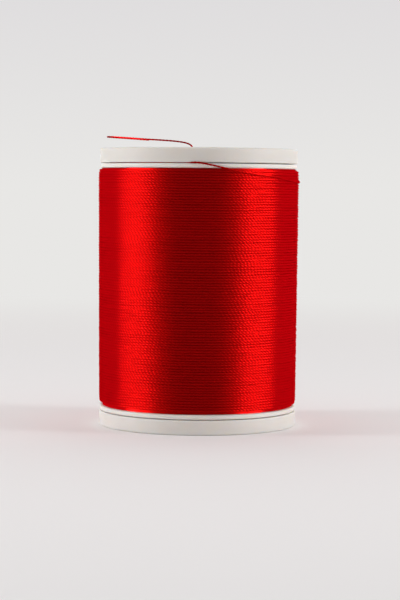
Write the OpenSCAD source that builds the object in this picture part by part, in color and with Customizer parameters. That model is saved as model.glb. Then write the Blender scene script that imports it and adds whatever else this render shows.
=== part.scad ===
// Spool of sewing thread with a snap-on cap at each end.
// The frame's origin is the middle of the resting face, and +Z is the spool's axis.

/* [Spool] */
// Height over both caps
spool_h = 49; // [44:0.5:60]
// Outside diameter of the barrel tube
barrel_d = 20; // [19.5:0.5:26]
// Wall of the barrel tube
barrel_wall = 1.6; // [1:0.1:1.8]
// How far the inner lips lie inside the caps' edge
lip_inset = 0.1; // [0:0.05:0.5]
// Thickness of the thin inner lips
lip_t = 0.8; // [0.6:0.1:1.4]

/* [Snap caps] */
// Diameter of the caps
cap_d = 35; // [34:0.1:37]
// Height of the cap's outer rim
cap_rim_h = 2.45; // [2:0.05:3.4]
// Width of the rim round the label recess
cap_rim_w = 1.3; // [0.8:0.1:1.8]
// Rounding of the cap's outer edge
cap_edge_r = 0.4; // [0.1:0.1:0.8]
// Thickness of the cap's plate
plate_t = 1.1; // [0.7:0.1:1.3]
// Diameter of the pin bore
pin_bore_d = 8; // [6:0.1:9]
// Wall of the collar round the pin bore
collar_wall = 1.2; // [0.7:0.1:1.3]
// Length of the collar, with the plate
collar_l = 6; // [4:0.5:12]
// Bevel at the mouth of the pin bore
bore_bevel = 0.3; // [0.1:0.1:0.6]

/* [Thread lock] */
// Height of the crevice that nips the thread
crevice_h = 0.28; // [0.2:0.02:0.8]
// Depth of the crevice, from the cap's edge
crevice_depth = 2.2; // [1.4:0.1:3]
// Bevel of the edges at the crevice's mouth
mouth_bevel = 0.1; // [0.05:0.05:0.25]
// Width of the ring that the cap seats on
seat_w = 1.1; // [0.6:0.1:2]

/* [Snap fit] */
// How far a cap pulls out
cap_travel = 1.2; // [0.4:0.1:2]
// Wall of the stem's fingers
stem_wall = 1.1; // [0.7:0.1:1.1]
// Clearance between the stem and the ridge
stem_gap = 0.2; // [0.1:0.05:0.3]
// Height of the ridge inside the barrel
ridge_h = 0.6; // [0.4:0.1:0.9]
// Length of the ridge along the barrel
ridge_l = 0.9; // [0.6:0.1:1.6]
// Depth of the ridge below the lip
ridge_depth = 4; // [3:0.5:7]
// Clearance between the barbs and the barrel
barb_gap = 0.3; // [0.1:0.05:0.35]
// Length of the barbs
barb_l = 1.9; // [1.2:0.1:2.6]
// Clearance left between barb and ridge with the cap pulled out
stop_gap = 0.05; // [0.02:0.01:0.2]
// Width of the keys inside the barrel
key_w = 1.6; // [1:0.1:2.4]
// Reach of the keys from the barrel's wall
key_h = 1.6; // [1:0.1:2.6]
// Clearance between a key and the slot it runs in, each side
key_gap = 0.3; // [0.1:0.05:0.5]
// Distance from the lip's face to the end of a key
key_depth = 1.6; // [1.4:0.1:3]
// Distance from the lip's face to the end of a finger slot
slot_depth = 1; // [0.6:0.1:1.2]
// Number of fingers, slots and keys
finger_count = 4; // [3:1:6]

/* [Cap ribs] */
// Number of stiffening ribs under the plate
rib_count = 8; // [4:1:12]
// Thickness of the ribs
rib_t = 0.9; // [0.6:0.1:1.4]
// Clearance between the ribs and the lip
rib_gap = 0.2; // [0.1:0.05:0.4]

/* [Labels] */
// Depth of the label recess
recess_depth = 0.3; // [0.15:0.05:0.5]
// Thickness of the label
label_t = 0.1; // [0.05:0.05:0.15]
// Clearance between the label and the rim
label_gap = 0.3; // [0.1:0.1:1]
// Clearance between the label and the pin bore's bevel
label_hole_gap = 1; // [0.2:0.1:2]

/* [Thread] */
// How far the winding stands out past the lips at its lower end
wind_out_low = 0.15; // [-1:0.05:0.4]
// How far the winding stands out past the lips at its upper end
wind_out_high = 0.4; // [-1:0.05:0.4]
// Diameter of the tube that stands for a group of neighbouring turns
turn_d = 1.18; // [0.9:0.01:1.2]
// Number of loops in the outer layer
turn_count = 24; // [8:1:24]
// Radius of the bend where the outer layer starts
bend_r = 0.8; // [0.7:0.1:2]
// Clearance between the layers, and between thread and plastic
thread_gap = 0.03; // [0.01:0.01:0.1]
// Diameter of one thread
thread_d = 0.28; // [0.2:0.01:0.3]

/* [Hidden] */

// Facets of round surfaces
round_fn = 96;
// Overlap of pieces that are one solid
join = 0.2;
// How far a cut runs past the face it cuts
past = 1;

// Radii
cap_r = cap_d / 2;
lip_r = cap_r - lip_inset;
bore_r = pin_bore_d / 2;
barrel_r = barrel_d / 2;
barrel_in_r = barrel_r - barrel_wall;
ridge_r = barrel_in_r - ridge_h;
stem_r = ridge_r - stem_gap;
stem_in_r = stem_r - stem_wall;
barb_r = barrel_in_r - barb_gap;
crevice_in_r = cap_r - crevice_depth;
seat_in_r = crevice_in_r - seat_w;
recess_r = cap_r - cap_rim_w;

// Heights in a cap, from the lip's face that it seats on
cap_h = cap_rim_h + crevice_h;
plate_top = cap_h - recess_depth;
plate_low = plate_top - plate_t;
barb_top = -(ridge_depth + ridge_l + cap_travel + stop_gap);
stem_end = barb_top - barb_l;
barb_lead = barb_r - stem_r;

// Heights in the spool
wind_low = cap_h + lip_t;
wind_high = spool_h - wind_low;

// The outer layer: where its tube's middle runs
rings_per_loop = 24;
loop_sides = 6;
// Half a side's turn stands each ring on a corner, so that its flats face in and out
loop_turn = 180 / loop_sides;
side_reach = turn_d / 2 * cos(loop_turn);
loop_step = 360 / rings_per_loop;
loops_low = wind_low + thread_gap + turn_d + bend_r;
loops_high = wind_high - thread_gap - turn_d / 2;
loop_pitch = (loops_high - loops_low) / turn_count;
// The angle where the last loop gives way to the loose end
tail_start = 30;
// The loops end a ring's step before that
loops_end = tail_start + loop_step;

// The loose end's route: angle round the spool in degrees, distance from the axis and height in mm.
// It leaves the winding, crosses the upper lip, runs through the crevice and leaves it at the back.
// Past the cap it stands up, bends over to the left, and its end turns back beside it.
tail_route = [
    [30, 17.3, 44.87], [24, 17.6, 44.7], [17, 17.9, 44.3], [8, 18, 43.8], [-2, 18, 43.5],
    [-14, 18, 43.4], [-26, 18, 43.6], [-38, 18, 44], [-50, 18, 44.4], [-62, 17.95, 44.9],
    [-72, 17.85, 45.45], [-80, 17.75, 45.95], [-87, 17.6, 46.35], [-93, 17.3, 46.415],
    [-99, 16.75, 46.41], [-105, 16.2, 46.41], [-112, 15.78, 46.41], [-120, 15.56, 46.41],
    [-150, 15.54, 46.41], [-190, 15.54, 46.41], [-230, 15.56, 46.41], [-238, 15.78, 46.41],
    [-245, 16.2, 46.41], [-251, 16.75, 46.41], [-256, 17.4, 46.41], [-259, 17.8, 46.5],
    [-262, 18.1, 46.9], [-264.5, 18.35, 47.8], [-266, 18.6, 48.9], [-266, 18.9, 49.8],
    [-263.5, 19.3, 50.4], [-258, 19.8, 50.75], [-250, 20.2, 50.95], [-240, 20.5, 51.1],
    [-230, 20.6, 51.25], [-224, 20.75, 51.3], [-220.5, 20.95, 51.35], [-218.5, 21.45, 51.35],
    [-220.5, 21.95, 51.35], [-225, 22.15, 51.3], [-233, 22.2, 51.2], [-245, 22.2, 51]
];
tail_sides = 8;
tail_turn = 180 / tail_sides;
// Greatest distance between the tail's rings
tail_step = 2.1;

// Geometry helpers
function on_circle(r, a, z) = [r * cos(a), r * sin(a), z];
function unit(v) = v / norm(v);
function clockwise(a) = [sin(a), -cos(a), 0];

// The winding's outside radius at a height
function wind_r(z) =
    lip_r + wind_out_low + (wind_out_high - wind_out_low) * (z - wind_low) / (wind_high - wind_low);
function loop_r(z) = wind_r(z) - side_reach;
// The buried layers end where the flats of the loops come closest
function core_r(z) = (loop_r(z) - side_reach) * cos(loop_step / 2) - thread_gap;

// One ring of a tube round the point p, square to the direction t, with out as its first side
function ring(p, t, out, r, sides, turn) =
    let (n = unit(out - t * (out * t)), b = cross(t, n))
    [for (k = [0:sides - 1]) p + r * (n * cos(turn + k * 360 / sides) + b * sin(turn + k * 360 / sides))];

// Triangles that join rings of points into a closed tube
function tube_faces(rings, sides) = concat(
    [for (k = [1:sides - 2]) [0, k, k + 1]],
    [for (i = [0:rings - 2], k = [0:sides - 1])
        let (a = i * sides, b = a + sides, n = (k + 1) % sides)
        each [[a + k, b + k, b + n], [a + k, b + n, a + n]]],
    [for (k = [1:sides - 2]) (rings - 1) * sides * [1, 1, 1] + [0, k + 1, k]]
);

// A smooth curve through four values, between the second and the third
function smooth(a, b, c, d, t) =
    ((2 * b) + (c - a) * t + (2 * a - 5 * b + 4 * c - d) * t * t
    + (3 * b - a - 3 * c + d) * t * t * t) / 2;

// Half-section of a cap: the seat is at 0 and the outside is up
module cap_section() {
    difference() {
        union() {
            // Ring that seats on the lip
            translate([seat_in_r, 0])
                square([seat_w, cap_h]);
            // Outer ring, above the crevice, with its rounded edge
            translate([crevice_in_r - join, crevice_h])
                square([crevice_depth - cap_edge_r + join, cap_rim_h]);
            translate([crevice_in_r - join, crevice_h])
                square([crevice_depth + join, cap_rim_h - cap_edge_r]);
            translate([cap_r - cap_edge_r, cap_h - cap_edge_r])
                circle(r = cap_edge_r, $fn = round_fn);
            // Plate
            translate([bore_r, plate_low])
                square([seat_in_r - bore_r + join, plate_t]);
            // Stem with its barbed end
            translate([stem_in_r, stem_end])
                square([stem_wall, plate_low - stem_end + join]);
            polygon([
                [stem_r - join, stem_end],
                [stem_r, stem_end],
                [barb_r, stem_end + 2 * barb_lead],
                [barb_r, barb_top],
                [stem_r - join, barb_top]
            ]);
            // Collar round the pin bore
            translate([bore_r, plate_top - collar_l])
                square([collar_wall, collar_l]);
        }
        // Recess for the label
        translate([0, plate_top])
            square([recess_r, recess_depth + past]);
        // Bevel at the bore's mouth
        polygon([
            [bore_r - past, plate_top + past],
            [bore_r - past, plate_top - bore_bevel - past],
            [bore_r + bore_bevel + past, plate_top + past]
        ]);
        // Bevel at the crevice's mouth
        polygon([
            [cap_r - mouth_bevel - past, crevice_h - past],
            [cap_r + past, crevice_h - past],
            [cap_r + past, crevice_h + mouth_bevel + past]
        ]);
    }
}

module snap_cap() {
    slot_w = key_w + 2 * key_gap;
    rib_h = plate_low - rib_gap;
    color("ivory")
    union() {
        difference() {
            rotate_extrude($fn = round_fn)
                cap_section();
            // Slots that part the stem into fingers
            for (k = [0:finger_count - 1])
                rotate([0, 0, k * 360 / finger_count])
                    translate([(bore_r + collar_wall + stem_in_r) / 2, -slot_w / 2, stem_end - past])
                        cube([barb_r, slot_w, past - slot_depth - stem_end]);
        }
        // Stiffening ribs
        for (k = [0:rib_count - 1])
            rotate([0, 0, (k + 0.5) * 360 / rib_count])
                translate([stem_r - join, -rib_t / 2, rib_gap])
                    cube([seat_in_r - stem_r + 2 * join, rib_t, rib_h + join]);
    }
}

module end_label() {
    color("whitesmoke")
    translate([0, 0, plate_top])
        difference() {
            cylinder(h = label_t, r = recess_r - label_gap, $fn = round_fn);
            translate([0, 0, -past])
                cylinder(h = label_t + 2 * past, r = bore_r + bore_bevel + label_hole_gap, $fn = round_fn);
        }
}

// A cap's pieces are drawn from the lip's face up, and carried to either end
module at_top() {
    translate([0, 0, spool_h - cap_h])
        children();
}

module at_bottom() {
    translate([0, 0, cap_h])
        mirror([0, 0, 1])
            children();
}

// Half-section of the lip and ridge at one end, with the lip's face at 0 and the barrel below
module barrel_end_section() {
    difference() {
        translate([barrel_in_r, -lip_t])
            square([lip_r - barrel_in_r, lip_t]);
        polygon([
            [lip_r - mouth_bevel - past, past],
            [lip_r + past, past],
            [lip_r + past, -mouth_bevel - past]
        ]);
    }
    polygon([
        [barrel_in_r + join, -ridge_depth + ridge_h + join],
        [ridge_r, -ridge_depth],
        [ridge_r, -ridge_depth - ridge_l],
        [barrel_in_r + join, -ridge_depth - ridge_l]
    ]);
}

module barrel() {
    tube_h = spool_h - 2 * cap_h;
    color("ivory")
    union() {
        rotate_extrude($fn = round_fn) {
            translate([barrel_in_r, cap_h])
                square([barrel_wall, tube_h]);
            translate([0, spool_h - cap_h])
                barrel_end_section();
            translate([0, cap_h])
                mirror([0, 1])
                    barrel_end_section();
        }
        // Keys that hold the caps from turning
        for (k = [0:finger_count - 1])
            rotate([0, 0, k * 360 / finger_count])
                translate([barrel_in_r - key_h, -key_w / 2, cap_h + key_depth])
                    cube([key_h + barrel_wall / 2, key_w, tube_h - 2 * key_depth]);
    }
}

module thread_inner_layers() {
    low = wind_low + thread_gap;
    high = wind_high - thread_gap;
    color("darkred")
    difference() {
        translate([0, 0, low])
            cylinder(h = high - low, r1 = core_r(low), r2 = core_r(high), $fn = round_fn);
        translate([0, 0, low - past])
            cylinder(h = high - low + 2 * past, r = barrel_r + thread_gap, $fn = round_fn);
    }
}

// The start of the outer layer: straight up from the lip, then bent round into the first loop
loops_start = loops_end + 360 * turn_count;
start_bend = [for (a = [0:30:60]) [bend_r * (1 - cos(a)), turn_d + bend_r * sin(a), a]];
start_path = concat([[0, 0, 0]], start_bend);
start_rings = [for (q = start_path)
    let (
        z = wind_low + thread_gap + q[1],
        a = loops_start + (bend_r - q[0]) / loop_r(z) * 180 / PI
    )
    ring(on_circle(loop_r(z), a, z), [0, 0, cos(q[2])] + clockwise(a) * sin(q[2]),
        on_circle(1, a, 0), turn_d / 2, loop_sides, loop_turn)];
loop_rings = [for (i = [0:turn_count * rings_per_loop])
    let (
        a = loops_start - i * loop_step,
        z = loops_low + i * loop_pitch / rings_per_loop,
        rise = loop_pitch / (2 * PI * loop_r(z))
    )
    ring(on_circle(loop_r(z), a, z), unit(clockwise(a) + [0, 0, rise]),
        on_circle(1, a, 0), turn_d / 2, loop_sides, loop_turn)];
// The end of the outer layer: straight for one diameter, square to the loose end's start
end_rings = [for (s = [turn_d, 0])
    ring(on_circle(loop_r(loops_high), tail_start, loops_high) - s * clockwise(tail_start),
        clockwise(tail_start), on_circle(1, tail_start, 0), turn_d / 2, loop_sides, loop_turn)];

// Least distance between a ring of one loop and the same ring of the next
loop_gap = min([for (i = [0:len(loop_rings) - 1 - rings_per_loop], p = loop_rings[i],
    q = loop_rings[i + rings_per_loop]) norm(p - q)]);

module thread_outer_turns() {
    rings = concat(start_rings, loop_rings, end_rings);
    echo(least_gap_between_loops_mm = loop_gap);
    color("red")
    polyhedron(points = [for (r = rings) each r], faces = tube_faces(len(rings), loop_sides));
}

// Points of the loose end between the hand-chosen ones
function route_at(i, t) =
    let (last = len(tail_route) - 1)
    smooth(tail_route[max(i - 1, 0)], tail_route[i], tail_route[i + 1],
        tail_route[min(i + 2, last)], t);
function route_point(q) = on_circle(q[1], q[0], q[2]);
tail_points = [for (i = [0:len(tail_route) - 2])
    let (
        from = route_point(tail_route[i]),
        to = route_point(tail_route[i + 1]),
        n = ceil(norm(to - from) / tail_step)
    )
    for (k = [0:n - 1]) route_point(route_at(i, k / n))];
tail_path = concat(tail_points, [route_point(tail_route[len(tail_route) - 1])]);
tail_last = len(tail_path) - 1;
function tail_direction(i) =
    i == 0 ? clockwise(tail_start)
    : unit(tail_path[min(i + 1, tail_last)] - tail_path[i - 1]);

module thread_tail() {
    // A first side half way between out and up is never in line with the route
    rings = [for (i = [0:tail_last])
        ring(tail_path[i], tail_direction(i), on_circle(1, atan2(tail_path[i][1], tail_path[i][0]), 1),
            thread_d / 2, tail_sides, tail_turn)];
    steps = [for (i = [1:tail_last]) norm(tail_path[i] - tail_path[i - 1])];
    echo(tail_rings = len(rings), tail_length_mm = steps * [for (s = steps) 1]);
    color("red")
    polyhedron(points = [for (r = rings) each r], faces = tube_faces(len(rings), tail_sides));
}

module top_snap_cap() {
    at_top() snap_cap();
}

module bottom_snap_cap() {
    at_bottom() snap_cap();
}

module top_end_label() {
    at_top() end_label();
}

module bottom_end_label() {
    at_bottom() end_label();
}

barrel();
top_snap_cap();
bottom_snap_cap();
top_end_label();
bottom_end_label();
thread_inner_layers();
thread_outer_turns();
thread_tail();
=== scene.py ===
"""Spool of sewing thread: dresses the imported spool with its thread, moulded plastic and labels."""
import math

import bmesh
import bpy
import numpy as np
from bpy.props import FloatProperty, FloatVectorProperty, IntProperty, PointerProperty
from mathutils import Matrix, Vector


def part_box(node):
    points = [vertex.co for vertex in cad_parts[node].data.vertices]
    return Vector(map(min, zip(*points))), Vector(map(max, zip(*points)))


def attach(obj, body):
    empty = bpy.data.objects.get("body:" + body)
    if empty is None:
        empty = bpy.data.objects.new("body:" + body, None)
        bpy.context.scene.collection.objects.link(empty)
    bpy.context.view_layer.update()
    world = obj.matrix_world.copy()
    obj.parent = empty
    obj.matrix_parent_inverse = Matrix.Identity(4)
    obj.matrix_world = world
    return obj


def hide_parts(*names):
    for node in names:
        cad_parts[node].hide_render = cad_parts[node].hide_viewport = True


bl_info = {
    "name": "Spool of thread",
    "version": (1, 0, 0),
    "blender": (4, 5, 0),
    "location": "View3D > Sidebar > Spool",
    "description": "Builds a spool of sewing thread with snap caps round its packed frame",
    "category": "Object",
}

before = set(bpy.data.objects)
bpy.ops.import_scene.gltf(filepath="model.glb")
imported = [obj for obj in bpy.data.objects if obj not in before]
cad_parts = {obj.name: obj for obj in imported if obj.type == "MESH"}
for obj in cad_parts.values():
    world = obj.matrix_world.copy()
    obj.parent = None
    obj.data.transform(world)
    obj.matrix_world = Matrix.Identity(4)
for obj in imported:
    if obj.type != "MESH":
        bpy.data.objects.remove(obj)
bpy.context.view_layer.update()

MM = 0.001
# The twist's stray is set at marks 20 mm apart, for up to 12 m of thread
MAX_RUN, TWIST_SPAN = 12.0, 0.02

# Places and sizes that come from the frame
CAP_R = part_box("bottom_snap_cap")[1].x
SPOOL_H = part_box("top_snap_cap")[1].z
STEM_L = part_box("bottom_snap_cap")[1].z
LIP_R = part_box("barrel")[1].x
LIP_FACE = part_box("barrel")[0].z
LABEL_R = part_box("top_end_label")[1].x
LABEL_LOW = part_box("top_end_label")[0].z
LABEL_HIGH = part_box("top_end_label")[1].z
CORE_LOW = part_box("thread_inner_layers")[0].z
CORE_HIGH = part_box("thread_inner_layers")[1].z


# ---------------------------------------------------------------- settings

def length(name, description, millimetres):
    """A length that the user can change, given in millimetres and kept in metres."""
    return FloatProperty(
        name=name, description=description, default=millimetres * MM, min=0,
        unit="LENGTH", subtype="DISTANCE", precision=5,
    )


def angle_of(name, description, degrees):
    """An angle that the user can change, given in degrees and kept in radians."""
    return FloatProperty(
        name=name, description=description, default=math.radians(degrees), subtype="ANGLE",
    )


def number(name, description, default):
    """A plain number that the user can change."""
    return FloatProperty(name=name, description=description, default=default)


def whole_number(name, description, default, low):
    """A count that the user can change."""
    return IntProperty(name=name, description=description, default=default, min=low)


def hue(name, description, hex_value):
    """A colour that the user can change, given as an sRGB hex value and kept as linear."""
    return FloatVectorProperty(
        name=name, description=description, default=linear(hex_value)[:3], min=0, max=1,
        size=3, subtype="COLOR",
    )


def linear(hex_value):
    """The linear RGBA of an sRGB hex value such as D8D2CA."""
    parts = [int(hex_value[i:i + 2], 16) / 255 for i in (0, 2, 4)]
    low, scale, offset, power = 0.04045, 12.92, 0.055, 2.4
    lit = [c / scale if c <= low else ((c + offset) / (1 + offset)) ** power for c in parts]
    return lit + [1.0]


class SpoolMouldings(bpy.types.PropertyGroup):
    """Sizes of the barrel and the caps."""

    bore_r: length("Pin bore radius", "Radius of the bore for the machine's pin", 4)
    bore_bevel: length("Bore bevel", "Bevel at the mouth of the pin bore", 0.3)
    collar_wall: length("Collar wall", "Wall of the collar round the pin bore", 1.2)
    collar_l: length("Collar length", "Length of the collar with the plate", 6)
    rim_w: length("Rim width", "Width of the rim round the label recess", 1.3)
    edge_r: length("Cap edge", "Rounding of the cap's outer edge", 0.4)
    plate_t: length("Plate thickness", "Thickness of the cap's plate", 1.1)
    recess: length("Label recess", "Depth of the recess that holds the label", 0.3)
    crevice_h: length("Crevice height", "Height of the crevice that nips the thread", 0.15)
    crevice_depth: length("Crevice depth", "Depth of the crevice from the cap's edge", 2.2)
    mouth_edge: length("Mouth edge", "Rounding of the cap's edge at the crevice's mouth", 0.2)
    mouth_bevel: length("Lip bevel", "Bevel of the lip's edge at the crevice's mouth", 0.08)
    seat_w: length("Seat width", "Width of the ring that seats on the lip", 1.1)
    lip_t: length("Lip thickness", "Thickness of the barrel's lips", 0.8)
    lip_edge: length("Lip edge", "Rounding of the lips' edge beside the thread", 0.35)
    barrel_r: length("Barrel radius", "Outside radius of the barrel tube", 10)
    barrel_wall: length("Barrel wall", "Wall of the barrel tube", 1.6)
    ridge_h: length("Ridge height", "Height of the ridge that stops the caps", 0.6)
    ridge_l: length("Ridge length", "Length of that ridge along the barrel", 0.9)
    ridge_depth: length("Ridge depth", "Depth of that ridge below the lip", 4)
    stem_gap: length("Stem clearance", "Clearance between the stem and the ridge", 0.2)
    stem_wall: length("Stem wall", "Wall of the stem's fingers", 1.1)
    barb_gap: length("Barb clearance", "Clearance between the barbs and the barrel", 0.3)
    barb_l: length("Barb length", "Length of the barbs", 1.9)
    slot_depth: length("Slot depth", "Distance from the lip's face to the end of a slot", 1)
    slot_w: length("Slot width", "Width of the slots between the fingers", 2.2)
    key_w: length("Key width", "Width of the keys inside the barrel", 1.6)
    key_h: length("Key height", "Reach of the keys from the barrel's wall", 1.6)
    key_depth: length("Key depth", "Distance from the lip's face to a key's end", 1.6)
    rib_t: length("Rib thickness", "Thickness of the ribs under the plate", 0.9)
    rib_gap: length("Rib clearance", "Clearance between the ribs and the lip", 0.2)
    fingers: whole_number("Fingers", "Number of fingers on a stem", 4, 2)
    ribs: whole_number("Ribs", "Number of ribs under a plate", 8, 2)
    around: whole_number("Steps", "Steps round a moulded piece", 192, 24)
    plastic: hue("Plastic", "Colour of the upper cap's plastic", "E3DDD6")
    # Painted light: the lower cap's plastic is a shade paler, for the light that the floor throws up
    # on it
    painted_bounce_plastic: hue("Lower plastic", "Colour of the lower cap's plastic, a shade paler", "ECE6DF")
    # Painted light: the barrel's plastic is paler than the caps', for the light that brightens its
    # lips
    painted_lit_lip_plastic: hue("Lip plastic", "Colour of the barrel's plastic", "F0EAE3")
    paper: hue("Paper", "Colour of the end labels", "EEEBE4")


class SpoolThread(bpy.types.PropertyGroup):
    """Sizes and colours of the thread."""

    radius: length("Thread radius", "Radius of the circle round the wound thread", 0.23)
    waist: length("Thread waist", "Half thickness of the thread where its plies meet", 0.163)
    loose_r: length("Loose end radius", "Radius of the circle round the loose end", 0.175)
    loose_waist: length(
        "Loose end waist", "Half thickness of the loose end where its plies meet", 0.135,
    )
    pitch: length("Pitch", "Distance between neighbouring turns", 0.458)
    lay: length("Lay", "Length in which a ply goes once round the thread", 1.36)
    out_low: length("Winding radius, low", "Outside radius of the winding at its lower end", 17.55)
    out_high: length(
        "Winding radius, high", "Outside radius of the winding at its upper end", 17.82,
    )
    shoulder: length("Shoulder", "How far the winding draws in at the lips", 0.28)
    shoulder_l: length("Shoulder length", "Height over which it draws in", 0.5)
    low_gap: length("Lower gap", "Bare height between the lower lip and the first turn", 0.35)
    nest: length("Nesting", "How far the second layer lies under the first", 0.17)
    wander_z: length("Wander along", "How far a turn strays along the spool", 0.022)
    wander_r: length("Wander out", "How far a turn strays from the surface", 0.02)
    wander_twist: number("Wander of the twist", "How far the twist strays, in turns of a ply", 0.22)
    steps: whole_number("Steps", "Steps round one turn", 900, 48)
    under_steps: whole_number("Steps below", "Steps round one turn of the second layer", 300, 48)
    sections: whole_number("Sections", "Sections that the winding is made in", 8, 1)
    seed: whole_number("Seed", "Seed of the turns' wander", 11, 0)
    dye: hue("Dye", "Colour of the dyed thread", "700306")
    deep: hue("Deep dye", "Colour where the thread took the dye deeper", "500204")
    lustre: hue("Lustre", "Colour of the thread's coloured gloss", "EB110F")
    # Painted sheen at the winding's sides, in part the crimson of fibre ends that stand out
    sheen_and_fibre_ends: hue("Bloom", "Colour of the fibre ends that stand out", "DC030F")


class SpoolStage(bpy.types.PropertyGroup):
    """The camera, the floor and the lamps."""

    distance: length("Distance", "Distance from the camera to the spool's axis", 344)
    eye_h: length("Eye height", "Height of the camera over the floor", 42.4)
    lens_mm: number("Lens", "Focal length in millimetres", 115.9)
    tilt: angle_of("Tilt", "How far the camera looks down", 3.372)
    pan: angle_of("Pan", "How far the camera turns right", 0.064)
    roll: angle_of("Roll", "How far the camera leans", 0.44)
    side_w: number("Side lamps", "Power of each side lamp in watts", 1.75)
    gleam_w: number("Gleam lamps", "Power in watts of the lamps that only gloss shows", 1.3)
    inner_w: number("Inner lamps", "The same for a weaker pair further in front", 0.7)
    flanks: number("Flanks", "Strength of the light from both sides", 0.42)
    behind: number("Behind", "Strength of the light from the pale backdrop", 0.87)
    overhead: number("Overhead", "Strength of the light from straight above", 1.0)
    low_light: number("Low light", "Strength of the light from ahead", 0.2)
    own_share: number("Own share", "Share of the floor that shows its own colour", 0.15)
    room: hue("Background", "Colour of the background at the horizon", "E8E7E5")
    room_high: hue("Background, high", "Colour of the background higher up", "DFDDDE")
    floor: hue("Floor", "Colour of the floor round the spool", "E4DFDE")
    # Painted shade: the floor is darker in front of the spool, towards the camera
    painted_front_shade: hue("Floor, front", "Colour of the floor in front of the spool", "CFCDCC")


# ---------------------------------------------------------------- mesh tools

def new_piece(name, bm, mat, smooth_angle=30):
    """An object from a bmesh, with its normals outward and one material."""
    bmesh.ops.recalc_face_normals(bm, faces=bm.faces)
    mesh = bpy.data.meshes.new(name)
    bm.to_mesh(mesh)
    bm.free()
    mesh.materials.append(mat)
    mesh.shade_smooth()
    mesh.set_sharp_from_angle(angle=math.radians(smooth_angle))
    piece = bpy.data.objects.new(name, mesh)
    bpy.context.scene.collection.objects.link(piece)
    return piece


def rounded(corners, arc_steps=4):
    """An outline of (radius, height) points, from corners given as (radius, height, rounding)."""
    nearly_half = 0.49
    points = []
    count = len(corners)
    for i, (r, z, rounding) in enumerate(corners):
        here = Vector((r, z))
        before = Vector(corners[i - 1][:2]) - here
        after = Vector(corners[(i + 1) % count][:2]) - here
        cut = min(rounding, before.length * nearly_half, after.length * nearly_half)
        if cut <= 0:
            points.append(here)
            continue
        a = here + before.normalized() * cut
        b = here + after.normalized() * cut
        # A quadratic curve from one cut to the other, drawn towards the corner
        for k in range(arc_steps + 1):
            t = k / arc_steps
            points.append(a * (1 - t) ** 2 + here * 2 * t * (1 - t) + b * t * t)
    return points


def spin_outline(bm, outline, steps, start=0.0, sweep=math.tau):
    """Turns a closed outline about the spool's axis, through a full turn or a part of one."""
    turn = Matrix.Rotation(start, 4, "Z")
    verts = [bm.verts.new(turn @ Vector((p.x, 0, p.y))) for p in outline]
    edges = [bm.edges.new((verts[i - 1], verts[i])) for i in range(len(verts))]
    full = sweep >= math.tau
    made = set(bm.verts) - set(verts)
    bmesh.ops.spin(
        bm, geom=verts + edges, cent=(0, 0, 0), axis=(0, 0, 1), dvec=(0, 0, 0),
        angle=sweep, steps=steps, use_merge=full, use_duplicate=False,
    )
    if not full:
        # The two ends of a part turn are closed with a face each
        open_edges = [e for e in bm.edges if e.is_boundary and not (set(e.verts) & made)]
        bmesh.ops.holes_fill(bm, edges=open_edges, sides=0)


def block(bm, low, high, angle=0.0, bevel=0.08 * MM):
    """A bevelled bar between two corners, turned about the spool's axis."""
    size, middle = high - low, (high + low) / 2
    shape = Matrix.Translation(middle) @ Matrix.Diagonal((*size, 1))
    place = Matrix.Rotation(angle, 4, "Z") @ shape
    made = bmesh.ops.create_cube(bm, size=1, matrix=place)["verts"]
    edges = {e for v in made for e in v.link_edges}
    bmesh.ops.bevel(
        bm, geom=list(edges), offset=bevel, offset_type="OFFSET", segments=2,
        profile=0.5, affect="EDGES", material=-1,
    )


def flip_to_floor(bm):
    """Carries what is drawn for the upper end to the lower one."""
    bmesh.ops.scale(bm, vec=(1, 1, -1), verts=bm.verts)
    bmesh.ops.translate(bm, vec=(0, 0, SPOOL_H), verts=bm.verts)


# ---------------------------------------------------------------- materials

def material(name):
    """A new material with an empty node tree, its shader and its output."""
    mat = bpy.data.materials.new(name)
    mat.use_nodes = True
    tree = mat.node_tree
    tree.nodes.clear()
    shader = add(tree, "ShaderNodeBsdfPrincipled")
    output = add(tree, "ShaderNodeOutputMaterial", {"Surface": shader.outputs["BSDF"]})
    return mat, tree, shader, output


def add(tree, kind, inputs=None, **settings):
    """Adds a node with its settings, and joins its inputs to outputs or gives them values."""
    node = tree.nodes.new(kind)
    for key, value in settings.items():
        setattr(node, key, value)
    join(tree, node, inputs or {})
    return node


def join(tree, node, inputs):
    """Joins a node's inputs to other nodes' outputs, or gives them plain values."""
    for key, value in inputs.items():
        socket = node.inputs[key]
        if isinstance(value, bpy.types.NodeSocket):
            tree.links.new(value, socket)
        else:
            socket.default_value = value


def scale_of(millimetres):
    """The texture scale, in repeats per metre, at which a pattern's features have a real size."""
    return 1 / (millimetres * MM)


def shade_of(colour, share):
    """A darker or paler shade of a linear colour, as RGBA."""
    return (*[min(1, c * share) for c in colour], 1)


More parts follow.
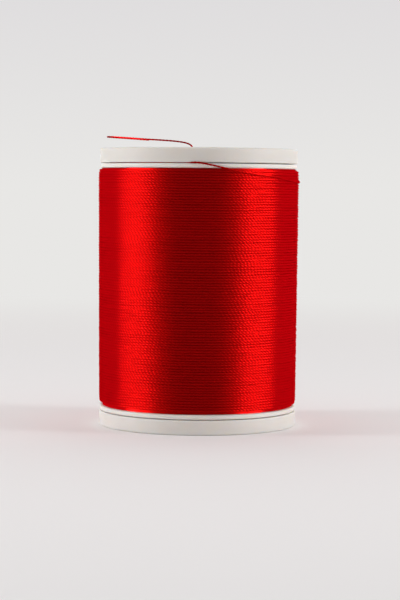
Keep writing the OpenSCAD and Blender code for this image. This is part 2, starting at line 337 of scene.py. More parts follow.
def moulded_plastic(name, colour, depth):
    """Injection-moulded white polystyrene: light goes in to a depth, and it has a soft gloss."""
    cloud_mm, speck_gap_mm, speck_r_mm, grain_mm = 4.0, 3.0, 0.1, 0.1
    darker, paler, dusty = 0.97, 1.03, 0.55
    grain_depth = 0.01 * MM
    mat, tree, shader, _ = material(name)
    place = add(tree, "ShaderNodeTexCoord").outputs["Object"]
    # Faint clouding from the resin's flow, a few millimetres across
    cloud = add(tree, "ShaderNodeTexNoise", {
        "Vector": place, "Scale": scale_of(cloud_mm), "Detail": 3.0,
    })
    tint = add(tree, "ShaderNodeMix", {
        "Factor": cloud.outputs["Fac"],
        "A": shade_of(colour, darker), "B": shade_of(colour, paler),
    }, data_type="RGBA")
    # Rare dark specks about 0.2 mm across, as dust in the mould leaves
    speck = add(tree, "ShaderNodeTexVoronoi", {"Vector": place, "Scale": scale_of(speck_gap_mm)})
    dot = add(tree, "ShaderNodeMath", {
        0: speck.outputs["Distance"], 1: speck_r_mm / speck_gap_mm,
    }, operation="LESS_THAN")
    dirt = add(tree, "ShaderNodeMix", {
        "Factor": dot.outputs[0], "A": tint.outputs["Result"], "B": shade_of(colour, dusty),
    }, data_type="RGBA")
    # The mould's spark-eroded face, with grain of about 0.1 mm
    grain = add(tree, "ShaderNodeTexNoise", {
        "Vector": place, "Scale": scale_of(grain_mm), "Detail": 2.0,
    })
    bump = add(tree, "ShaderNodeBump", {
        "Height": grain.outputs["Fac"], "Strength": 0.12, "Distance": grain_depth,
    })
    gloss = add(tree, "ShaderNodeMapRange", {
        "Value": cloud.outputs["Fac"], "To Min": 0.5, "To Max": 0.6,
    })
    join(tree, shader, {
        "Base Color": dirt.outputs["Result"], "Normal": bump.outputs["Normal"],
        "Roughness": gloss.outputs["Result"], "IOR": 1.59, "Specular IOR Level": 0.3,
        "Subsurface Weight": 0.6, "Subsurface Radius": (1.0, 0.8, 0.6), "Subsurface Scale": depth,
    })
    return mat


def label_paper(colour):
    """Uncoated self-adhesive paper: matt and white, with a fine felted fibre."""
    # Paper fibres are about 0.03 mm wide; drawn 0.25 mm wide so that they show
    fibre_mm, fibre_depth, darker = 0.25, 0.02 * MM, 0.93
    mat, tree, shader, _ = material("uncoated_paper")
    place = add(tree, "ShaderNodeTexCoord").outputs["Object"]
    fibre = add(tree, "ShaderNodeTexNoise", {
        "Vector": place, "Scale": scale_of(fibre_mm), "Detail": 5.0, "Distortion": 1.5,
    })
    tint = add(tree, "ShaderNodeMix", {
        "Factor": fibre.outputs["Fac"], "A": shade_of(colour, darker), "B": (*colour, 1),
    }, data_type="RGBA")
    bump = add(tree, "ShaderNodeBump", {
        "Height": fibre.outputs["Fac"], "Strength": 0.35, "Distance": fibre_depth,
    })
    join(tree, shader, {
        "Base Color": tint.outputs["Result"], "Normal": bump.outputs["Normal"],
        "Roughness": 0.85, "IOR": 1.45,
    })
    return mat


def dyed_thread(name, t):
    """Spun polyester: light runs through the dyed fibres, so even its gloss is coloured."""
    # Single fibres are 0.015 mm wide; drawn 0.06 mm wide so that they break up the gloss
    slub_mm, fibre_mm, fibre_depth = 1.0, 0.06, 0.01 * MM
    gloss, spread, fibre_lean = 0.385, 0.65, 0.08
    # Shares of the surface: the lustre's straight ahead, which paints shade on the winding's middle,
    # and at the sides; the painted sheen's at the sides
    lustre_ahead, lustre_aside, sheen_aside = 0.46, 1.0, 0.8
    mat, tree, shader, output = material(name)
    place = add(tree, "ShaderNodeTexCoord").outputs["Object"]
    # Slubs: the dye takes a little deeper in places, about a millimetre long
    slub = add(tree, "ShaderNodeTexNoise", {
        "Vector": place, "Scale": scale_of(slub_mm), "Detail": 3.0,
    })
    tint = add(tree, "ShaderNodeMix", {
        "Factor": slub.outputs["Fac"], "A": (*t.deep, 1), "B": (*t.dye, 1),
    }, data_type="RGBA")
    fibre = add(tree, "ShaderNodeTexNoise", {
        "Vector": place, "Scale": scale_of(fibre_mm), "Detail": 2.0,
    })
    fine = add(tree, "ShaderNodeBump", {
        "Height": fibre.outputs["Fac"], "Strength": 0.25, "Distance": fibre_depth,
    }).outputs["Normal"]
    join(tree, shader, {
        "Base Color": tint.outputs["Result"], "Normal": fine, "Roughness": 0.8,
        "Specular IOR Level": 0.0,
    })
    # The slant of the whole winding, not of a strand: 0 straight ahead and 1 at its side edges
    outward = add(tree, "ShaderNodeVectorMath", {0: place, 1: (1, 1, 0)}, operation="MULTIPLY")
    unit = add(tree, "ShaderNodeVectorMath", {
        0: outward.outputs["Vector"],
    }, operation="NORMALIZE").outputs["Vector"]
    side = add(tree, "ShaderNodeLayerWeight", {"Blend": 0.5, "Normal": unit}).outputs["Facing"]
    slant_full, sheen_from, sheen_full = 0.13, 0.22, 0.5
    slant = add(tree, "ShaderNodeMapRange", {
        "Value": side, "From Min": 0.0, "From Max": slant_full, "To Max": 1.0,
    }, interpolation_type="SMOOTHSTEP").outputs["Result"]
    surface = add(tree, "ShaderNodeNewGeometry").outputs["Normal"]
    # The lustre's colour carries painted shade in the grooves between the plies and between the
    # turns
    tone = add(tree, "ShaderNodeMix", {
        "Factor": painted_groove_shade(tree, slant, surface), "A": (0, 0, 0, 1), "B": (*t.lustre, 1),
    }, data_type="RGBA")
    # The fibres run round the spool, lean with the twist and spread the light across themselves
    round_spool = add(tree, "ShaderNodeVectorMath", {
        0: (0, 0, 1), 1: unit,
    }, operation="CROSS_PRODUCT").outputs["Vector"]
    across = add(tree, "ShaderNodeVectorMath", {
        0: round_spool, 1: surface,
    }, operation="CROSS_PRODUCT")
    lean = add(tree, "ShaderNodeVectorMath", {
        0: across.outputs["Vector"], 1: (fibre_lean,) * 3, 2: round_spool,
    }, operation="MULTIPLY_ADD")
    sheen = add(tree, "ShaderNodeBsdfAnisotropic", {
        "Color": tone.outputs["Result"], "Roughness": gloss, "Anisotropy": spread,
        "Normal": fine, "Tangent": lean.outputs["Vector"],
    }, distribution="GGX")
    # The lustre gains towards the winding's sides as seen from the camera, far more than a gloss
    # seen at a slant does: painted shade on the winding's middle
    gain = add(tree, "ShaderNodeMapRange", {
        "Value": slant, "To Min": lustre_ahead, "To Max": lustre_aside,
    })
    glossy = add(tree, "ShaderNodeMixShader", {
        0: gain.outputs["Result"], 1: shader.outputs["BSDF"], 2: sheen.outputs[0],
    })
    # A crimson diffuse layer towards the winding's sides as seen from the camera: painted sheen,
    # with loose fibre ends that stand out giving a part of it
    sheen_and_fibre_ends = add(tree, "ShaderNodeMapRange", {
        "Value": side, "From Min": sheen_from, "From Max": sheen_full, "To Max": 1.0,
    }, interpolation_type="SMOOTHSTEP")
    share = add(tree, "ShaderNodeMath", {
        0: sheen_and_fibre_ends.outputs["Result"], 1: sheen_aside,
    }, operation="MULTIPLY")
    sheen_and_fibre_layer = add(tree, "ShaderNodeBsdfDiffuse", {"Color": (*t.sheen_and_fibre_ends, 1), "Normal": unit})
    blend = add(tree, "ShaderNodeMixShader", {
        0: share.outputs[0], 1: glossy.outputs[0], 2: sheen_and_fibre_layer.outputs[0],
    })
    join(tree, output, {"Surface": blend.outputs[0]})
    return mat


def painted_groove_shade(tree, slant, surface):
    """Painted shade on the strand's gloss, from its grooves (less than 1) to its open faces (1).

    Seen from straight ahead the grooves between turns get painted shade. Seen at a slant, those
    between the two plies get deeper painted shade.
    """
    ply_ahead, ply_aside, ply_edge = 1.0, 0.4, 0.85
    turn_ahead, turn_aside, turn_from, turn_full = 0.9, 0.95, 0.35, 0.9
    # V runs once round the strand, with its grooves at a quarter and at three quarters
    uv = add(tree, "ShaderNodeUVMap", uv_map="UVMap").outputs["UV"]
    round_strand = add(tree, "ShaderNodeSeparateXYZ", {"Vector": uv})
    angle = add(tree, "ShaderNodeMath", {
        0: round_strand.outputs["Y"], 1: math.tau,
    }, operation="MULTIPLY")
    wave = add(tree, "ShaderNodeMath", {0: angle.outputs[0]}, operation="COSINE")
    off_groove = add(tree, "ShaderNodeMath", {0: wave.outputs[0]}, operation="ABSOLUTE")
    # Painted shade in the grooves between the plies, deeper at a slant
    ply_dark = add(tree, "ShaderNodeMapRange", {
        "Value": slant, "To Min": ply_ahead, "To Max": ply_aside,
    })
    ply_light = add(tree, "ShaderNodeMapRange", {
        "Value": off_groove.outputs[0], "From Max": ply_edge,
        "To Min": ply_dark.outputs["Result"], "To Max": 1.0,
    }, interpolation_type="SMOOTHSTEP")
    # The strand's steep faces look into the grooves between turns, and get painted shade there
    facing = add(tree, "ShaderNodeSeparateXYZ", {"Vector": surface})
    steep = add(tree, "ShaderNodeMath", {0: facing.outputs["Z"]}, operation="ABSOLUTE")
    turn_dark = add(tree, "ShaderNodeMapRange", {
        "Value": slant, "To Min": turn_ahead, "To Max": turn_aside,
    })
    turn_light = add(tree, "ShaderNodeMapRange", {
        "Value": steep.outputs[0], "From Min": turn_from, "From Max": turn_full,
        "To Min": 1.0, "To Max": turn_dark.outputs["Result"],
    }, interpolation_type="SMOOTHSTEP")
    return add(tree, "ShaderNodeMath", {
        0: ply_light.outputs["Result"], 1: turn_light.outputs["Result"],
    }, operation="MULTIPLY").outputs[0]


def paper_sweep(near, far, painted_front_shade, own_share):
    """Matt paper with no horizon: far off it shows the camera its own colour alone."""
    far_from, far_full = 0.08, 0.4
    front_from, front_full = -0.07, -0.17
    paper = linear("F7F3F2")
    mat, tree, shader, output = material("matt_paper_sweep")
    place = add(tree, "ShaderNodeTexCoord").outputs["Object"]
    axes = add(tree, "ShaderNodeSeparateXYZ", {"Vector": place})
    reach = add(tree, "ShaderNodeVectorMath", {0: place}, operation="LENGTH")
    away = add(tree, "ShaderNodeMapRange", {
        "Value": reach.outputs["Value"], "From Min": far_from, "From Max": far_full,
    }, interpolation_type="SMOOTHSTEP").outputs["Result"]
    # Painted shade: the floor turns darker in front of the spool
    before = add(tree, "ShaderNodeMapRange", {
        "Value": axes.outputs["Y"], "From Min": front_from, "From Max": front_full,
    }, interpolation_type="SMOOTHSTEP")
    tint = add(tree, "ShaderNodeMix", {
        "Factor": before.outputs["Result"], "A": (*near, 1), "B": (*painted_front_shade, 1),
    }, data_type="RGBA")
    tone = add(tree, "ShaderNodeMix", {
        "Factor": away, "A": tint.outputs["Result"], "B": (*far, 1),
    }, data_type="RGBA")
    join(tree, shader, {"Base Color": paper, "Roughness": 0.9, "Specular IOR Level": 0.1})
    own = add(tree, "ShaderNodeEmission", {"Color": tone.outputs["Result"], "Strength": 1.0})
    share = add(tree, "ShaderNodeMapRange", {"Value": away, "To Min": own_share, "To Max": 1.0})
    seen = add(tree, "ShaderNodeLightPath").outputs["Is Camera Ray"]
    factor = add(tree, "ShaderNodeMath", {
        0: seen, 1: share.outputs["Result"],
    }, operation="MULTIPLY")
    blend = add(tree, "ShaderNodeMixShader", {
        0: factor.outputs[0], 1: shader.outputs["BSDF"], 2: own.outputs["Emission"],
    })
    join(tree, output, {"Surface": blend.outputs[0]})
    return mat


# ---------------------------------------------------------------- thread

# The loose end's route, near the frame's but settled up to 0.2 mm into the winding: the angle in
# degrees, then the distance from the axis and the height in metres
TAIL_ROUTE = [
    (30, 0.0173, 0.04487), (24, 0.0176, 0.0447), (17, 0.0178, 0.0442), (8, 0.01782, 0.0436),
    (-2, 0.01782, 0.04325), (-14, 0.01782, 0.0432), (-27, 0.01784, 0.0435), (-40, 0.01786, 0.044),
    (-52.5, 0.0179, 0.0444), (-65, 0.01795, 0.0449), (-75, 0.01785, 0.04545),
    (-82.5, 0.01775, 0.04595), (-89.5, 0.0176, 0.04635), (-95, 0.0173, 0.046415),
    (-100, 0.01675, 0.04641), (-105, 0.0162, 0.04641), (-112, 0.01578, 0.04641),
    (-120, 0.01556, 0.04641), (-150, 0.01554, 0.04641), (-190, 0.01554, 0.04641),
    (-230, 0.01556, 0.04641), (-238, 0.01578, 0.04641), (-245, 0.0162, 0.04641),
    (-251, 0.01675, 0.04641), (-256, 0.0174, 0.04641), (-259, 0.0178, 0.0465),
    (-262, 0.0181, 0.0469), (-264.5, 0.01835, 0.0478), (-266, 0.0186, 0.0489),
    (-266, 0.0189, 0.0498), (-263.5, 0.0193, 0.0504), (-258, 0.0198, 0.05075),
    (-250, 0.0202, 0.05095), (-240, 0.0205, 0.0511), (-230, 0.0206, 0.05125),
    (-224, 0.02075, 0.0513), (-220.5, 0.02095, 0.05135), (-218.5, 0.02145, 0.05135),
    (-220.5, 0.02195, 0.05135), (-225, 0.02215, 0.0513), (-233, 0.0222, 0.0512),
    (-245, 0.0222, 0.051),
]


def tail_points(step):
    """Points along the loose end, about step apart, on a smooth curve through its route."""
    route = np.array(TAIL_ROUTE, float)
    points = []
    for i in range(len(route) - 1):
        a, b = route[max(i - 1, 0)], route[i]
        c, d = route[i + 1], route[min(i + 2, len(route) - 1)]
        span = math.hypot(math.radians(c[0] - b[0]) * b[1], c[1] - b[1], c[2] - b[2])
        count = max(1, round(span / step))
        for t in np.arange(count) / count:
            # A Catmull-Rom curve from b to c, led in by a and out by d
            points.append((2 * b + (c - a) * t + (2 * a - 5 * b + 4 * c - d) * t ** 2
                           + (3 * b - a - 3 * c + d) * t ** 3) / 2)
    points.append(route[-1])
    polar = np.array(points)
    angle = np.radians(polar[:, 0])
    return np.column_stack([polar[:, 1] * np.cos(angle), polar[:, 1] * np.sin(angle), polar[:, 2]])


def ply_section(radius, waist, sides):
    """The outline of two plies side by side, as a closed flat curve."""
    # The higher this is, the narrower a ply's crown
    crown_power = 1.2
    curve = bpy.data.curves.new("ply_section", "CURVE")
    curve.dimensions = "2D"
    spline = curve.splines.new("POLY")
    spline.points.add(sides - 1)
    for k, point in enumerate(spline.points):
        a = math.tau * k / sides
        r = waist + (radius - waist) * abs(math.cos(a)) ** crown_power
        point.co = (r * math.cos(a), r * math.sin(a), 0, 1)
    spline.use_cyclic_u = True
    section = bpy.data.objects.new("ply_section", curve)
    bpy.context.scene.collection.objects.link(section)
    return section


def twisted_strand(name, path, radius, waist, lay, mat, run=0.0, sides=8, frame_mode="Z_UP",
                   stray=0.0, seed=0):
    """A two-ply thread with a right-hand twist along a path, and the length up to its end.

    run is the length that came before it, and stray is how far the twist strays, in turns of a ply.
    """
    section = ply_section(radius, waist, sides)
    curve = bpy.data.curves.new(name, "CURVE")
    curve.dimensions = "3D"
    curve.twist_mode = frame_mode
    curve.bevel_mode = "OBJECT"
    curve.bevel_object = section
    curve.use_fill_caps = True
    spline = curve.splines.new("POLY")
    spline.points.add(len(path) - 1)
    spans = np.linalg.norm(np.diff(path, axis=0), axis=1)
    along = np.concatenate([[0], np.cumsum(spans)]) + run
    spline.points.foreach_set("co", np.column_stack([path, np.ones(len(path))]).ravel())
    # The twist strays from mark to mark, so that neighbouring turns don't match
    rng = np.random.default_rng(seed)
    marks = np.arange(int(MAX_RUN / TWIST_SPAN)) * TWIST_SPAN
    strayed = np.interp(along, marks, rng.normal(0, stray, len(marks)))
    spline.points.foreach_set("tilt", (along / lay + strayed) * math.tau)
    strand = bpy.data.objects.new(name, curve)
    bpy.context.scene.collection.objects.link(strand)
    shaped = strand.evaluated_get(bpy.context.evaluated_depsgraph_get())
    mesh = bpy.data.meshes.new_from_object(shaped)
    mesh.name = name
    for spare in (strand, section):
        data = spare.data
        bpy.data.objects.remove(spare)
        bpy.data.curves.remove(data)
    bm = bmesh.new()
    bm.from_mesh(mesh)
    bpy.data.meshes.remove(mesh)
    bmesh.ops.remove_doubles(bm, verts=bm.verts, dist=1e-7)
    piece = new_piece(name, bm, mat, smooth_angle=80)
    return piece, along[-1]


def winding_path(t, steps, depth=0.0):
    """Points of a layer: round and up, drawn in at the lips, each turn straying a little."""
    # Soft thread gives way, so the end turns lie this share of a radius from where they stop
    snug = 0.9
    low, high = CORE_LOW + t.low_gap + t.radius * snug, CORE_HIGH - t.radius * snug
    turns = (high - low) / t.pitch
    count = int(turns * steps)
    turn = np.arange(count + 1) / steps
    height = low + (high - low) * turn / turns
    share = (height - CORE_LOW) / (CORE_HIGH - CORE_LOW)
    out = t.out_low + (t.out_high - t.out_low) * share
    for edge in (CORE_LOW, CORE_HIGH):
        out -= t.shoulder * np.exp(-np.abs(height - edge) / t.shoulder_l)
    rng = np.random.default_rng(t.seed)
    knots_per_turn = 3
    knots = np.arange(int(turns * knots_per_turn) + 3) / knots_per_turn
    stray_z = np.interp(turn, knots, rng.normal(0, 1, len(knots))) * t.wander_z
    stray_r = np.interp(turn, knots, rng.normal(0, 1, len(knots))) * t.wander_r
    most = 2 * t.wander_r
    r = out - t.radius - depth + np.clip(stray_r, -most, most)
    z = np.clip(height + stray_z, low, high)
    # A deeper layer lies in the grooves, half a turn on
    angle = -turn * math.tau + (math.pi if depth else 0)
    return np.column_stack([r * np.cos(angle), r * np.sin(angle), z])


# ---------------------------------------------------------------- operators

class SPOOL_OT_loose_end(bpy.types.Operator):
    """Makes the loose end of the thread, from the winding through the crevice to its free end"""

    bl_idname = "spool.loose_end"
    bl_label = "Loose end"

    def execute(self, context):
        t = context.scene.spool_thread
        mat = dyed_thread("twisted_polyester_loose_end", t)
        step = 0.16 * MM
        path = tail_points(step)
        piece, run = twisted_strand(
            "thread_loose_end", path, t.loose_r, t.loose_waist, t.lay, mat, frame_mode="MINIMUM",
        )
        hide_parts("thread_tail")
        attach(piece, "spool")
        return {"FINISHED"}


class SPOOL_OT_winding(bpy.types.Operator):
    """Winds the outer layer of thread, turn by turn"""

    bl_idname = "spool.winding"
    bl_label = "Winding"

    def execute(self, context):
        t = context.scene.spool_thread
        mat = dyed_thread("twisted_polyester", t)
        path = winding_path(t, t.steps)
        per = math.ceil((len(path) - 1) / t.sections)
        run = 0.0
        for k in range(t.sections):
            stretch = path[k * per:(k + 1) * per + 1]
            piece, run = twisted_strand(
                f"thread_winding_{k + 1}", stretch, t.radius, t.waist, t.lay, mat, run,
                stray=t.wander_twist, seed=t.seed,
            )
            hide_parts("thread_outer_turns")
            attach(piece, "spool")
        return {"FINISHED"}


class SPOOL_OT_buried_layers(bpy.types.Operator):
    """Makes the second layer of thread, and a sleeve for the layers under it, down to the barrel"""

    bl_idname = "spool.buried_layers"
    bl_label = "Buried layers"

    def execute(self, context):
        t = context.scene.spool_thread
        m = context.scene.spool_mouldings
        mat = dyed_thread("twisted_polyester_buried", t)
        path = winding_path(t, t.under_steps, depth=t.nest)
        half = len(path) // 2
        run = 0.0
        pieces = []
        for k, stretch in enumerate((path[:half + 1], path[half:])):
            piece, run = twisted_strand(
                f"thread_second_layer_{k + 1}", stretch, t.radius, t.waist, t.lay, mat, run,
                sides=6,
            )
            pieces.append(piece)
        # The sleeve reaches from just off the barrel to the underside of the second layer
        clear = 0.02 * MM
        sleeve = t.nest + t.radius * 2
        steps_up, steps_round = 12, 96
        outline = [Vector((m.barrel_r + clear, CORE_LOW))]
        for k in range(steps_up + 1):
            share = k / steps_up
            out = t.out_low + (t.out_high - t.out_low) * share - sleeve
            outline.append(Vector((out, CORE_LOW + (CORE_HIGH - CORE_LOW) * share)))
        outline.append(Vector((m.barrel_r + clear, CORE_HIGH)))
        bm = bmesh.new()
        spin_outline(bm, outline, steps_round)
        pieces.append(new_piece("thread_buried_layers", bm, mat, smooth_angle=80))
        for piece in pieces:
            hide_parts("thread_inner_layers")
            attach(piece, "spool")
        return {"FINISHED"}


class SPOOL_OT_barrel(bpy.types.Operator):
    """Moulds the barrel with its thin lips, its stop ridges and its keys"""

    bl_idname = "spool.barrel"
    bl_label = "Barrel"

    def execute(self, context):
        m = context.scene.spool_mouldings
        in_r = m.barrel_r - m.barrel_wall
        ridge_r = in_r - m.ridge_h
        small, fillet = 0.05 * MM, 0.2 * MM
        light_depth = 0.3 * MM
        # Corners at the lower end: radius, height over the lip's face and rounding
        corners = [
            (in_r, m.ridge_depth + m.ridge_l, small),
            (ridge_r, m.ridge_depth + m.ridge_l, small),
            (ridge_r, m.ridge_depth, small),
            (in_r, m.ridge_depth - m.ridge_h, small),
            (in_r, 0, small),
            (LIP_R - m.mouth_bevel, 0, small),
            (LIP_R, m.mouth_bevel, small),
            (LIP_R, m.lip_t, m.lip_edge),
            (m.barrel_r, m.lip_t, fillet),
        ]
        corners = [(r, LIP_FACE + z, c) for r, z, c in corners]
        corners += [(r, SPOOL_H - z, c) for r, z, c in reversed(corners)]
        bm = bmesh.new()
        spin_outline(bm, rounded(corners, arc_steps=3), m.around)
        for k in range(m.fingers):
            block(
                bm,
                Vector((in_r - m.key_h, -m.key_w / 2, LIP_FACE + m.key_depth)),
                Vector((in_r + m.barrel_wall / 2, m.key_w / 2, SPOOL_H - LIP_FACE - m.key_depth)),
                angle=math.tau * k / m.fingers,
            )
        # The barrel is painted paler than the caps, for the light that brightens its lips
        mat = moulded_plastic("moulded_barrel_polystyrene", m.painted_lit_lip_plastic, light_depth)
        piece = new_piece("barrel_moulding", bm, mat)
        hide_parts("barrel")
        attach(piece, "spool")
        return {"FINISHED"}


class SPOOL_OT_caps(bpy.types.Operator):
    """Moulds the two snap caps, with their rims, seats, ribs, collars and barbed fingers"""

    bl_idname = "spool.caps"
    bl_label = "Snap caps"

    def execute(self, context):
        m = context.scene.spool_mouldings
        light_depth = 1.0 * MM
        # The lower cap is painted a shade paler than the upper one, for the floor's light on it
        ends = (("top", "top_cap", m.plastic), ("bottom", "bottom_cap", m.painted_bounce_plastic))
        for end, body, colour in ends:
            mat = moulded_plastic(f"moulded_{end}_cap_polystyrene", colour, light_depth)
            bm = bmesh.new()
            self.draw_cap(bm, m)
            if end == "bottom":
                flip_to_floor(bm)
            piece = new_piece(f"{end}_cap_moulding", bm, mat)
            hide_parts(f"{end}_snap_cap")
            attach(piece, body)
        return {"FINISHED"}

    def draw_cap(self, bm, m):
        """Draws the upper cap."""
        seat = SPOOL_H - LIP_FACE
        plate_top = SPOOL_H - m.recess
        plate_low = plate_top - m.plate_t
        crevice = seat + m.crevice_h
        recess_r = CAP_R - m.rim_w
        crevice_in_r = CAP_R - m.crevice_depth
        seat_in_r = crevice_in_r - m.seat_w
        in_r = m.barrel_r - m.barrel_wall
        stem_r = in_r - m.ridge_h - m.stem_gap
        stem_in_r = stem_r - m.stem_wall
        barb_r = in_r - m.barb_gap
        collar_r = m.bore_r + m.collar_wall
        collar_end = plate_top - m.collar_l
        root = seat - m.slot_depth
        tip = SPOOL_H - STEM_L
        fine, small, inner = 0.04 * MM, 0.1 * MM, 0.2 * MM
        # Corners of the cap without its fingers: radius, height and rounding
        corners = [
            (m.bore_r, collar_end, small), (m.bore_r, plate_top - m.bore_bevel, small),
            (m.bore_r + m.bore_bevel, plate_top, small), (recess_r, plate_top, inner),
            (recess_r, SPOOL_H, inner), (CAP_R, SPOOL_H, m.edge_r),
            (CAP_R, crevice, m.mouth_edge),
            (crevice_in_r, crevice, fine), (crevice_in_r, seat, fine), (seat_in_r, seat, fine),
            (seat_in_r, plate_low, inner), (stem_r, plate_low, inner), (stem_r, root, 0),
            (stem_in_r, root, 0), (stem_in_r, plate_low, inner), (collar_r, plate_low, inner),
            (collar_r, collar_end, small),
        ]
        spin_outline(bm, rounded(corners), m.around)
        # The fingers, from the root of the slots down to their barbs, which slope by one in two
        slot = 2 * math.asin(m.slot_w / 2 / stem_r)
        arc = math.tau / m.fingers - slot
        steps = m.around // (m.fingers * 4)
        lead = 2 * (barb_r - stem_r)
        finger = rounded([
            (stem_in_r, tip, small), (stem_r, tip, small), (barb_r, tip + lead, small),
            (barb_r, tip + m.barb_l, small), (stem_r, tip + m.barb_l, fine),
            (stem_r, root + small, 0), (stem_in_r, root + small, 0),
        ])
        for k in range(m.fingers):
            spin_outline(bm, finger, steps, math.tau * k / m.fingers + slot / 2, arc)
        for k in range(m.ribs):
            block(
                bm,
                Vector((stem_r - small, -m.rib_t / 2, seat + m.rib_gap)),
                Vector((seat_in_r + small, m.rib_t / 2, plate_low + small)),
                angle=math.tau * (k + 0.5) / m.ribs,
            )


class SPOOL_OT_labels(bpy.types.Operator):
    """Lays a blank paper label in the recess at each end"""

    bl_idname = "spool.labels"
    bl_label = "End labels"

    def execute(self, context):
        m = context.scene.spool_mouldings
        mat = label_paper(m.paper)
        hole_gap, edge = 1 * MM, 0.03 * MM
        hole_r = m.bore_r + m.bore_bevel + hole_gap
        corners = [
            (hole_r, LABEL_LOW, edge), (LABEL_R, LABEL_LOW, edge),
            (LABEL_R, LABEL_HIGH, edge), (hole_r, LABEL_HIGH, edge),
        ]
        for end, body in (("top", "top_cap"), ("bottom", "bottom_cap")):
            bm = bmesh.new()
            spin_outline(bm, rounded(corners, arc_steps=2), m.around)
            if end == "bottom":
                flip_to_floor(bm)
            piece = new_piece(f"{end}_label_paper", bm, mat)
            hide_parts(f"{end}_end_label")
            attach(piece, body)
        return {"FINISHED"}


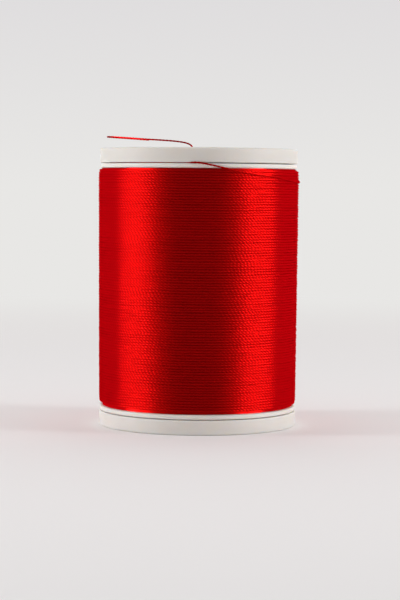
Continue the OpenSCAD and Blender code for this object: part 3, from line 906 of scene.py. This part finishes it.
class SPOOL_OT_stage(bpy.types.Operator):
    """Sets the camera, the floor, the background and the lamps"""

    bl_idname = "spool.stage"
    bl_label = "Stage"

    def execute(self, context):
        s = context.scene.spool_stage
        scene = context.scene
        self.camera(scene, s)
        self.floor(scene, s)
        self.world(scene, s)
        # Pairs of tall soft boxes, in degrees from straight ahead, all turned a little to the left
        far, height, wide, tall = 0.6, 0.16, 0.12, 0.45
        leftward = 2.5
        pairs = (("side", 80, s.side_w), ("gleam", 78, s.gleam_w), ("inner", 60, s.inner_w))
        for kind, degrees, watts in pairs:
            for hand, name in ((-1, "left"), (1, "right")):
                turn = math.radians(degrees - hand * leftward)
                place = Vector((hand * math.sin(turn) * far, -math.cos(turn) * far, height))
                lamp = self.lamp(scene, f"{kind}_lamp_{name}", place, wide, tall, watts)
                lamp.visible_diffuse = kind == "side"
                lamp.visible_camera = False
        scene.view_settings.view_transform = "Standard"
        return {"FINISHED"}

    def camera(self, scene, s):
        """The camera looks along +Y, a little down."""
        data = bpy.data.cameras.new("camera")
        data.lens = s.lens_mm
        data.clip_start = 0.01
        cam = bpy.data.objects.new("camera", data)
        scene.collection.objects.link(cam)
        cam.matrix_world = (
            Matrix.Translation((0, -s.distance, s.eye_h))
            @ Matrix.Rotation(-s.pan, 4, "Z")
            @ Matrix.Rotation(math.pi / 2 - s.tilt, 4, "X")
            @ Matrix.Rotation(s.roll, 4, "Z")
        )
        scene.camera = cam

    def floor(self, scene, s):
        """A wide flat sweep of paper."""
        half_w = 6
        bm = bmesh.new()
        bmesh.ops.create_grid(bm, x_segments=1, y_segments=1, size=half_w)
        mat = paper_sweep(s.floor, s.room, s.painted_front_shade, s.own_share)
        mesh = bpy.data.meshes.new("floor")
        bm.to_mesh(mesh)
        bm.free()
        mesh.materials.append(mat)
        piece = bpy.data.objects.new("floor", mesh)
        scene.collection.objects.link(piece)

    def world(self, scene, s):
        """A dim room with bright flanks; the camera sees the background's own colour."""
        world = bpy.data.worlds.new("room")
        scene.world = world
        world.use_nodes = True
        tree = world.node_tree
        tree.nodes.clear()
        flank_from, flank_full = 0.3, 0.85
        back_from, back_full = 0.1, 0.6
        over_from, over_full = 0.6, 0.95
        high_full = 0.1
        toward = add(tree, "ShaderNodeTexCoord").outputs["Generated"]
        axes = add(tree, "ShaderNodeSeparateXYZ", {"Vector": toward})
        aside = add(tree, "ShaderNodeMath", {0: axes.outputs["X"]}, operation="ABSOLUTE")
        flank = add(tree, "ShaderNodeMapRange", {
            "Value": aside.outputs[0], "From Min": flank_from, "From Max": flank_full,
            "To Min": s.low_light, "To Max": s.flanks,
        }, interpolation_type="SMOOTHSTEP")
        backdrop = add(tree, "ShaderNodeMapRange", {
            "Value": axes.outputs["Y"], "From Min": back_from, "From Max": back_full,
            "To Max": s.behind,
        }, interpolation_type="SMOOTHSTEP")
        brighter = add(tree, "ShaderNodeMath", {
            0: flank.outputs["Result"], 1: backdrop.outputs["Result"],
        }, operation="MAXIMUM")
        overhead = add(tree, "ShaderNodeMapRange", {
            "Value": axes.outputs["Z"], "From Min": over_from, "From Max": over_full,
            "To Max": s.overhead,
        }, interpolation_type="SMOOTHSTEP")
        total = add(tree, "ShaderNodeMath", {
            0: brighter.outputs[0], 1: overhead.outputs["Result"],
        }, operation="MAXIMUM")
        light = add(tree, "ShaderNodeBackground", {
            "Color": (1, 1, 1, 1), "Strength": total.outputs[0],
        })
        rise = add(tree, "ShaderNodeMapRange", {
            "Value": axes.outputs["Z"], "From Max": high_full,
        })
        tint = add(tree, "ShaderNodeMix", {
            "Factor": rise.outputs["Result"], "A": (*s.room, 1), "B": (*s.room_high, 1),
        }, data_type="RGBA")
        seen = add(tree, "ShaderNodeBackground", {"Color": tint.outputs["Result"], "Strength": 1.0})
        ray = add(tree, "ShaderNodeLightPath").outputs["Is Camera Ray"]
        mix = add(tree, "ShaderNodeMixShader", {0: ray, 1: light.outputs[0], 2: seen.outputs[0]})
        add(tree, "ShaderNodeOutputWorld", {"Surface": mix.outputs[0]})

    def lamp(self, scene, name, place, wide, tall, watts):
        """A cool white soft box that faces the middle of the spool."""
        cool_white = (0.93, 0.97, 1.0)
        data = bpy.data.lights.new(name, "AREA")
        data.shape = "RECTANGLE"
        data.size, data.size_y = wide, tall
        data.energy = watts
        data.color = cool_white
        lamp = bpy.data.objects.new(name, data)
        scene.collection.objects.link(lamp)
        aim = (Vector((0, 0, SPOOL_H / 2)) - place).to_track_quat("-Z", "Y")
        lamp.matrix_world = Matrix.Translation(place) @ aim.to_matrix().to_4x4()
        return lamp


# The operators in the order in which they run: the camera and the cord come first
STEPS = ["stage", "loose_end", "winding", "buried_layers", "barrel", "caps", "labels"]


class SPOOL_PT_panel(bpy.types.Panel):
    """Lists the spool's pieces."""

    bl_idname = "SPOOL_PT_panel"
    bl_label = "Spool of thread"
    bl_space_type = "VIEW_3D"
    bl_region_type = "UI"
    bl_category = "Spool"

    def draw(self, context):
        for step in STEPS:
            self.layout.operator(f"spool.{step}")


CLASSES = [
    SpoolMouldings, SpoolThread, SpoolStage, SPOOL_OT_stage, SPOOL_OT_loose_end, SPOOL_OT_winding,
    SPOOL_OT_buried_layers, SPOOL_OT_barrel, SPOOL_OT_caps, SPOOL_OT_labels, SPOOL_PT_panel,
]


def register():
    for cls in CLASSES:
        bpy.utils.register_class(cls)
    bpy.types.Scene.spool_mouldings = PointerProperty(type=SpoolMouldings)
    bpy.types.Scene.spool_thread = PointerProperty(type=SpoolThread)
    bpy.types.Scene.spool_stage = PointerProperty(type=SpoolStage)


def unregister():
    del bpy.types.Scene.spool_stage
    del bpy.types.Scene.spool_thread
    del bpy.types.Scene.spool_mouldings
    for cls in reversed(CLASSES):
        bpy.utils.unregister_class(cls)


def main():
    register()
    for step in STEPS:
        getattr(bpy.ops.spool, step)()


if __name__ == "__main__":
    main()
